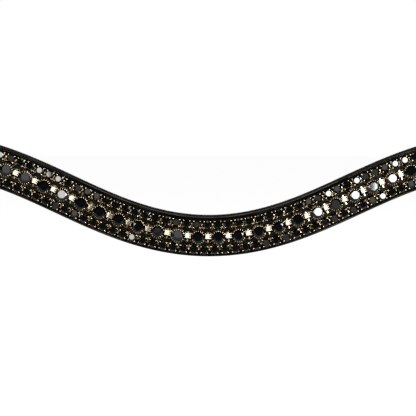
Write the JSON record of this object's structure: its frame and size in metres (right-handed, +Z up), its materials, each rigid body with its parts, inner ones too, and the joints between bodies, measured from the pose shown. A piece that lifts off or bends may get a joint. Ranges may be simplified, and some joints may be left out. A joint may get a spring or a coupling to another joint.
{
  "type": "crystal browband",
  "caption": "Wave-shaped padded leather browband set with black crystals in champagne-gold cups; a folded loop at each end takes the bridle's headpiece.",
  "frame": {"origin": "middle of the band on the back of the lining, where it lies on the brow", "axes": "+X along the band towards the right loop as seen from the stones' side, +Y out of the back towards the brow, +Z up; the stones face -Y"},
  "size_m": [0.392, 0.0169, 0.0605],
  "materials": {
    "cover_leather": "glossy black bridle leather",
    "strap_leather": "semi-gloss black bridle leather",
    "lining_leather": "soft matt black leather",
    "patent_leather": "patent gloss",
    "foam": "closed-cell foam",
    "thread": "waxed polyester thread",
    "champagne_gold": "polished champagne gold plate",
    "black_crystal": "faceted and polished, opaque black"
  },
  "bodies": {
    "brow": {"core_strap": "strap_leather", "lining": "lining_leather", "upper_lining_thread": "thread", "lower_lining_thread": "thread", "foam_pad": "foam", "cover": "cover_leather", "patent_bed": "patent_leather", "large_cup_chain": "champagne_gold", "large_stone_01": "black_crystal", "large_stone_02": "black_crystal", "large_stone_03": "black_crystal", "large_stone_04": "black_crystal", "large_stone_05": "black_crystal", "large_stone_06": "black_crystal", "large_stone_07": "black_crystal", "large_stone_08": "black_crystal", "large_stone_09": "black_crystal", "large_stone_10": "black_crystal", "large_stone_11": "black_crystal", "large_stone_12": "black_crystal", "large_stone_13": "black_crystal", "large_stone_14": "black_crystal", "large_stone_15": "black_crystal", "large_stone_16": "black_crystal", "large_stone_17": "black_crystal", "large_stone_18": "black_crystal", "large_stone_19": "black_crystal", "large_stone_20": "black_crystal", "large_stone_21": "black_crystal", "large_stone_22": "black_crystal", "large_stone_23": "black_crystal", "large_stone_24": "black_crystal", "large_stone_25": "black_crystal", "large_stone_26": "black_crystal", "large_stone_27": "black_crystal", "large_stone_28": "black_crystal", "large_stone_29": "black_crystal", "large_stone_30": "black_crystal", "upper_small_row": "champagne_gold", "lower_small_row": "champagne_gold", "left_tail": "strap_leather", "left_stitching": "thread", "right_tail": "strap_leather", "right_stitching": "thread"},
    "left_loop_end": {"left_loop": "strap_leather"},
    "right_loop_end": {"right_loop": "strap_leather"}
  },
  "joints": [
    {"name": "left_loop_flex", "type": "hinge", "parent": "brow", "child": "left_loop_end", "pos_m": [-0.15399, -0.00385, 0.04052], "axis": [0, 0, -1], "range_deg": [-20, 50], "stiffness_Nm_per_rad": 0.03},
    {"name": "right_loop_flex", "type": "hinge", "parent": "brow", "child": "right_loop_end", "pos_m": [0.15399, -0.00385, 0.04052], "axis": [0, 0, 1], "range_deg": [-20, 50], "stiffness_Nm_per_rad": 0.03}
  ]
}
